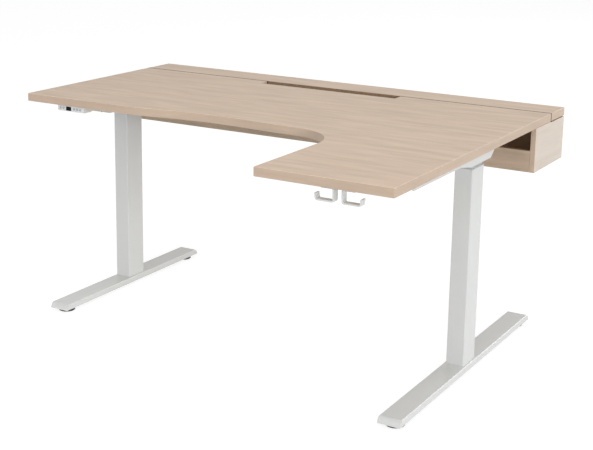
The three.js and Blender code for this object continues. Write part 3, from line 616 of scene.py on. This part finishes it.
rail = stand_in("right_rail_channel", "right_rail", "desk_top")
rail_low, rail_high = box_mm("right_rail")
for vertex in rail.data.vertices:
    place = vertex.co / MM
    if place.y < rail_low.y + FRONT_PART and place.z < rail_high.z - TOP_CORNERS:
        vertex.co.z -= FRONT_DEEPER * MM
    if place.y < rail_low.y + FRONT_CORNERS:
        vertex.co.y -= FRONT_LONGER * MM
soften(rail, EASED["white_steel"])
print("rail front", FRONT_DEEPER, "mm deeper and", FRONT_LONGER, "mm longer")

# %% [markdown]
# ## Screw and bolt heads
# A desk like this is held by a few dozen screws: rounded bolts with a hexagonal socket where
# steel meets steel, cross-recessed screws where steel meets wood. A head is a turned shape with a
# recess pressed in, so it is built here as rings of points, from the bearing face up over the
# dome and down into the recess. Every ring has the same number of points, and a ring in the
# recess has its points on a hexagon or a cross.

# %% Outlines of round rims and of recesses
RING_POINTS = 48
ring_turns = [2 * math.pi * step / RING_POINTS for step in range(RING_POINTS)]

def round_rim(radius):
    return [radius] * RING_POINTS


def hexagon_socket(across_flats):
    """Distance from the middle to the wall, at each turn."""
    sixth = math.pi / 3
    return [across_flats / 2 / math.cos(turn % sixth - sixth / 2) for turn in ring_turns]


def cross_recess(reach, arm_width):
    """The same for two crossed bars."""
    quarter = math.pi / 2
    walls = []
    for turn in ring_turns:
        off_arm = abs((turn + quarter / 2) % quarter - quarter / 2)
        end_of_arm = reach / math.cos(off_arm)
        side_of_arm = arm_width / 2 / max(math.sin(off_arm), 0.001)
        walls.append(min(end_of_arm, side_of_arm))
    return walls


# %% A head as a stack of rings
DOME = [(0.96, 0.0), (1.0, 0.08), (1.0, 0.3), (0.94, 0.62), (0.82, 0.86), (0.68, 1.0)]
RECESS_TAPER = 0.9

def domed_head(radius, height, recess, depth):
    """Rings of (outline, height) in millimetres, from the bearing face to the recess's floor."""
    rings = [(round_rim(radius * share), height * up) for share, up in DOME]
    narrowed = [wall * RECESS_TAPER for wall in recess]
    return rings + [(recess, height), (narrowed, height - depth)]


BUTTON_BOLT = domed_head(7.0, 4.2, hexagon_socket(5.0), 2.6)
SMALL_BOLT = domed_head(5.2, 3.2, hexagon_socket(4.0), 2.0)
RAIL_SCREW = domed_head(6.0, 2.8, cross_recess(2.9, 1.3), 1.8)
WOOD_SCREW = domed_head(4.2, 2.3, cross_recess(2.2, 1.0), 1.5)
HINGE_SCREW = domed_head(3.1, 1.1, cross_recess(1.8, 0.8), 0.8)
CASE_SCREW = domed_head(2.8, 1.8, cross_recess(1.6, 0.7), 1.1)
print("a button bolt has", len(BUTTON_BOLT), "rings of", RING_POINTS, "points")

# %% [markdown]
# The heads of one kind on one body are joined in a single mesh, because they never move apart.
# Each is turned by its own angle, as screws are when they come out of the driver.

# %% Rows of heads
TURN_STEP = 0.7

def fasteners(name, body, rings, places, facing):
    """Heads at places, in millimetres, that look along facing and ride on a body."""
    mesh = bmesh.new()
    aim = Vector((0, 0, 1)).rotation_difference(Vector(facing)).to_matrix()
    for count, place in enumerate(places):
        spin = Matrix.Rotation(TURN_STEP * count, 3, "Z")
        rows = []
        for outline, height in rings:
            row = []
            for turn, reach in zip(ring_turns, outline):
                point = Vector((reach * math.cos(turn), reach * math.sin(turn), height))
                row.append(mesh.verts.new((Vector(place) + aim @ (spin @ point)) * MM))
            rows.append(row)
        for low, high in zip(rows, rows[1:]):
            for step in range(RING_POINTS):
                after = (step + 1) % RING_POINTS
                mesh.faces.new((low[step], low[after], high[after], high[step]))
        mesh.faces.new(list(reversed(rows[0])))
        mesh.faces.new(rows[-1])
    shown(name, mesh, body, zinc_plate)
    return len(places)


def shown(name, mesh, body, material):
    """Turn a bmesh into an object with smooth rounds and crisp edges, on a body of the desk."""
    data = bpy.data.meshes.new(name)
    mesh.to_mesh(data)
    mesh.free()
    piece = bpy.data.objects.new(name, data)
    scene.collection.objects.link(piece)
    data.materials.append(material)
    piece.modifiers.new("smooth by angle", "NODES").node_group = smooth_by_angle
    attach(piece, body)


def corners(middle, reach_x, reach_y, level):
    """The four corners of a rectangle round a middle, all at one level."""
    return [(middle[0] + x, middle[1] + y, level)
            for x in (-reach_x, reach_x) for y in (-reach_y, reach_y)]


print("heads turn by", TURN_STEP, "radians from one to the next")

# %% [markdown]
# Where each head goes follows from the piece that it holds. A rail has two wood screws at either
# end of its top sheet. A head plate, which closes the inner tube, is bolted at its corners, and a
# foot is bolted up into the column's base plate from below. The motor and the gearbox have their
# covers screwed on.

# %% Heads on the legs
DOWN, TO_FRONT, TO_REAR = (0, 0, -1), (0, -1, 0), (0, 1, 0)
RAIL_SHEET = 2.5
RAIL_SCREW_X, RAIL_SCREW_INSET = 18, 15
HEAD_PLATE_BOLT_X, HEAD_PLATE_BOLT_Y = 20, 53
FOOT_BOLT_X, FOOT_BOLT_Y = 15.5, 29.5
FOOT_BOLT_HEIGHT = 10
MOTOR_CAP_CIRCLE = 11
MOTOR_CAP_TURNS = (math.pi / 6, math.pi * 5 / 6, math.pi * 3 / 2)
COVER_SCREW_INSET = 9

for side in ("left", "right"):
    tube_low, tube_high = box_mm(side + "_outer_tube")
    axis = (tube_low + tube_high) / 2
    rail_low, rail_high = box_mm(side + "_rail")
    below_sheet = rail_high.z - RAIL_SHEET
    places = [(axis.x + x, y, below_sheet) for x in (-RAIL_SCREW_X, RAIL_SCREW_X)
              for y in (rail_low.y + RAIL_SCREW_INSET, rail_high.y - RAIL_SCREW_INSET)]
    heads = fasteners(side + "_rail_screws", "desk_top", RAIL_SCREW, places, DOWN)
    places = corners(axis, HEAD_PLATE_BOLT_X, HEAD_PLATE_BOLT_Y, rail_low.z)
    heads += fasteners(side + "_head_plate_bolts", "desk_top", BUTTON_BOLT, places, DOWN)
    low, high = box_mm(side + "_foot")
    places = corners(axis, FOOT_BOLT_X, FOOT_BOLT_Y, low.z + FOOT_BOLT_HEIGHT)
    heads += fasteners(side + "_foot_bolts", side + "_base", BUTTON_BOLT, places, DOWN)
    low, high = box_mm(side + "_motor")
    hub = (low + high) / 2
    places = [(hub.x + MOTOR_CAP_CIRCLE * math.cos(turn), low.y,
               hub.z + MOTOR_CAP_CIRCLE * math.sin(turn)) for turn in MOTOR_CAP_TURNS]
    heads += fasteners(side + "_motor_cap_screws", "desk_top", CASE_SCREW, places, TO_FRONT)
    low, high = box_mm(side + "_gearbox")
    places = [(x, high.y, z) for x in (low.x + COVER_SCREW_INSET, high.x - COVER_SCREW_INSET)
              for z in (low.z + COVER_SCREW_INSET, high.z - COVER_SCREW_INSET)]
    heads += fasteners(side + "_gearbox_cover_screws", "desk_top", CASE_SCREW, places, TO_REAR)
    print(side, "leg:", heads, "heads")

# %% [markdown]
# The end plates of the crossbeams are bolted to the rails. Hooks and control box hang from wood
# screws, small screws close the control box and the handset, and each leaf of a hinge is held by
# three.

# %% Heads on the crossbeams
BEAM_PLATE = 3
BEAM_BOLT_Y, BEAM_BOLT_DROP = 25.5, 12

heads = 0
for beam in ("front_crossbeam", "rear_crossbeam"):
    low, high = box_mm(beam)
    middle_y = (low.y + high.y) / 2
    for end, x, facing in (("left", low.x + BEAM_PLATE, (1, 0, 0)),
                           ("right", high.x - BEAM_PLATE, (-1, 0, 0))):
        places = [(x, middle_y + y, high.z - BEAM_BOLT_DROP) for y in (-BEAM_BOLT_Y, BEAM_BOLT_Y)]
        heads += fasteners(beam + "_" + end + "_bolts", "desk_top", SMALL_BOLT, places, facing)
print("crossbeams:", heads, "heads")

# %% Heads on the hooks
HOOK_STRIP = 4
HOOK_SCREWS = (13, 26)

left_low, left_high = box_mm("left_hook")
right_low, right_high = box_mm("right_hook")
hook_y = (left_low.y + left_high.y) / 2
left_upright, right_upright = left_high.x - HOOK_STRIP / 2, right_low.x + HOOK_STRIP / 2
places = [(left_upright - x, hook_y, left_high.z - HOOK_STRIP) for x in HOOK_SCREWS]
places += [(right_upright + x, hook_y, right_high.z - HOOK_STRIP) for x in HOOK_SCREWS]
print("hooks:", fasteners("hook_screws", "desk_top", WOOD_SCREW, places, DOWN), "heads")

# %% Heads on the control box and the handset
EAR_SCREW_INSET, EAR_THICKNESS = 7, 3
LID_SCREW_X, LID_SCREW_Y = 93, 38
HANDSET_SCREW_INSET, HANDSET_SCREW_SETBACK = 12, 18

low, high = box_mm("control_box")
middle = (low + high) / 2
places = [(x, middle.y, high.z - EAR_THICKNESS)
          for x in (low.x + EAR_SCREW_INSET, high.x - EAR_SCREW_INSET)]
heads = fasteners("control_box_screws", "desk_top", WOOD_SCREW, places, DOWN)
places = corners(middle, LID_SCREW_X, LID_SCREW_Y, low.z)
heads += fasteners("control_box_lid_screws", "desk_top", CASE_SCREW, places, DOWN)
low, high = box_mm("handset_housing")
places = [(x, low.y + HANDSET_SCREW_SETBACK, low.z)
          for x in (low.x + HANDSET_SCREW_INSET, high.x - HANDSET_SCREW_INSET)]
heads += fasteners("handset_screws", "desk_top", CASE_SCREW, places, DOWN)
print("control box and handset:", heads, "heads")

# %% Heads on the hinges
HINGE_LEAF = 1.5
HINGE_SCREW_EDGE = 8
HINGE_SCREWS = (10, 30, 50)

heads = 0
for number in (1, 2, 3):
    low, high = box_mm(f"hinge_{number}_fixed_leaf")
    across = [low.x + x for x in HINGE_SCREWS]
    places = [(x, low.y + HINGE_LEAF, low.z + HINGE_SCREW_EDGE) for x in across]
    heads += fasteners(f"hinge_{number}_fixed_screws", "desk_top", HINGE_SCREW, places, TO_REAR)
    low, high = box_mm(f"hinge_{number}_flap_leaf")
    places = [(x, low.y + HINGE_LEAF, high.z - HINGE_SCREW_EDGE) for x in across]
    heads += fasteners(f"hinge_{number}_flap_screws", "flap", HINGE_SCREW, places, TO_REAR)
print("hinges:", heads, "heads")

# %% [markdown]
# ## The brush in the seam
# On each side of the opening only a slit is left between the top and its flap. A strip of
# bristles closes it and gives way to a cable; their near-black colour is painted shade, which
# darkens the slit to a line. It sits on the rear edge of the top, so it stays when the flap opens.
# Its tufts end at slightly different heights, which only geometry shows.

# %% Brush strips
TUFTS = 170
TIP_BELOW = 0.25
TIP_SPLAY = 2.0
TIP_DEPTH = 1.8
STRIP_RISE = 1.5
TIP_ROUND = 0.05
GAP_TO_TOP, GAP_TO_FLAP = 0.2, 0.6
seam_front = top_high.y + GAP_TO_TOP
seam_rear = box_mm("rear_flap")[0].y - GAP_TO_FLAP

def brush_strip(left, right):
    """A row of tufts from left to right, upright in the seam and splayed at the tips."""
    mesh = bmesh.new()
    previous = None
    for tuft in range(TUFTS + 1):
        x = left + (right - left) * tuft / TUFTS
        ripple = 0.25 * math.sin(tuft * 2.4) + 0.15 * math.sin(tuft * 0.9)
        tip = top_high.z - TIP_BELOW + ripple / 2
        lean = 0.15 * math.sin(tuft * 1.7)
        neck, foot = tip - TIP_DEPTH, top_low.z + STRIP_RISE
        profile = [(seam_front, foot), (seam_front, neck),
                   (seam_front - TIP_SPLAY, tip - TIP_ROUND),
                   (seam_front - TIP_SPLAY / 2 + lean, tip),
                   (seam_rear + TIP_SPLAY / 2 + lean, tip),
                   (seam_rear + TIP_SPLAY, tip - TIP_ROUND),
                   (seam_rear, neck), (seam_rear, foot)]
        row = [mesh.verts.new(Vector((x, y, z)) * MM) for y, z in profile]
        if previous:
            for step in range(len(row)):
                after = (step + 1) % len(row)
                mesh.faces.new((previous[step], row[step], row[after], previous[after]))
        else:
            mesh.faces.new(row)
        previous = row
    mesh.faces.new(list(reversed(previous)))
    return mesh


END_GAP = 0.4
left_strip = brush_strip(top_low.x + END_GAP, opening_low.x)
right_strip = brush_strip(opening_high.x, top_high.x - END_GAP)
shown("seam_brush_left", left_strip, "desk_top", seam_shade_bristles)
shown("seam_brush_right", right_strip, "desk_top", seam_shade_bristles)
print("two strips of", TUFTS, "tufts")

# %% [markdown]
# ## Marks on the handset
# The handset has an arrow for up, an arrow for down and three numbered memories, printed on the
# keys. The prints ride on their keys, so they go in with them. The dark window shows three digits
# of seven bars; at rest the bars are unlit and only a little paler than the pane.

# %% Printed keys
INK = 0.08
BAR_INK = 0.03

def printed_plate(name, outlines, face_y, body, material, thickness):
    """Flat shapes, lists of (x, z) in millimetres, that stand out from a face to the front."""
    mesh = bmesh.new()
    for outline in outlines:
        back = [mesh.verts.new(Vector((x, face_y, z)) * MM) for x, z in outline]
        front = [mesh.verts.new(Vector((x, face_y - thickness, z)) * MM) for x, z in outline]
        mesh.faces.new(front)
        mesh.faces.new(list(reversed(back)))
        for step in range(len(outline)):
            after = (step + 1) % len(outline)
            mesh.faces.new((front[step], back[step], back[after], front[after]))
    bmesh.ops.recalc_face_normals(mesh, faces=mesh.faces)
    shown(name, mesh, body, material)


ARROW_HALF, ARROW_BASE, ARROW_TIP = 1.6, 0.9, 1.2
for key, up in (("up_button", 1), ("down_button", -1)):
    low, high = box_mm(key)
    middle = (low + high) / 2
    base = middle.z - ARROW_BASE * up
    arrow = [(middle.x - ARROW_HALF, base), (middle.x + ARROW_HALF, base),
             (middle.x, middle.z + ARROW_TIP * up)]
    printed_plate(key + "_arrow", [arrow], low.y, key, key_print, INK)
print("arrows", ARROW_BASE + ARROW_TIP, "mm high")

# %% Printed numerals
NUMERAL_HEIGHT = 3.4
CAPITAL_SHARE = 0.7
HALF_INK = INK / 2
OPTICAL_RISE = 0.1

stand_up = Matrix.Rotation(math.pi / 2, 4, "X")
for numeral in "123":
    key = f"memory_{numeral}_button"
    low, high = box_mm(key)
    letter = bpy.data.curves.new("numeral " + numeral, "FONT")
    letter.body = numeral
    letter.size = NUMERAL_HEIGHT * MM / CAPITAL_SHARE
    letter.align_x = "CENTER"
    letter.extrude = HALF_INK * MM
    flat = bpy.data.objects.new("flat numeral", letter)
    scene.collection.objects.link(flat)
    bpy.context.view_layer.update()
    mesh = bmesh.new()
    mesh.from_mesh(flat.to_mesh())
    flat.to_mesh_clear()
    bpy.data.objects.remove(flat)
    middle = (low + high) / 2
    place = Vector((middle.x, low.y - HALF_INK,
                    middle.z - NUMERAL_HEIGHT / 2 + OPTICAL_RISE)) * MM
    bmesh.ops.transform(mesh, matrix=Matrix.Translation(place) @ stand_up, verts=mesh.verts)
    shown(f"numeral_{numeral}", mesh, key, key_print)
print("numerals", NUMERAL_HEIGHT, "mm high")

# %% Unlit digits
DIGITS = 3
DIGIT_WIDTH, DIGIT_HEIGHT = 3.2, 6.0
DIGIT_PITCH = 5.2
DIGIT_LEFT, DIGIT_FOOT = 3.2, 3.0
BAR_WIDTH = 0.7

def digit_bars(left, foot):
    """Seven six-sided bars of one digit."""
    tip = BAR_WIDTH / 2

    def level(z):
        start, end = left + tip, left + DIGIT_WIDTH - tip
        return [(left, z), (start, z + tip), (end, z + tip),
                (left + DIGIT_WIDTH, z), (end, z - tip), (start, z - tip)]

    def upright(x, z):
        end = z + DIGIT_HEIGHT / 2
        return [(x, z), (x + tip, z + tip), (x + tip, end - tip), (x, end),
                (x - tip, end - tip), (x - tip, z + tip)]

    halfway = foot + DIGIT_HEIGHT / 2
    bars = [level(foot), level(halfway), level(foot + DIGIT_HEIGHT)]
    return bars + [upright(x, z) for x in (left, left + DIGIT_WIDTH) for z in (foot, halfway)]


low, high = box_mm("handset_display")
bars = []
for digit in range(DIGITS):
    bars += digit_bars(low.x + DIGIT_LEFT + DIGIT_PITCH * digit, low.z + DIGIT_FOOT)
printed_plate("unlit_digits", bars, low.y, "desk_top", unlit_bar, BAR_INK)
print(len(bars), "bars in the window")
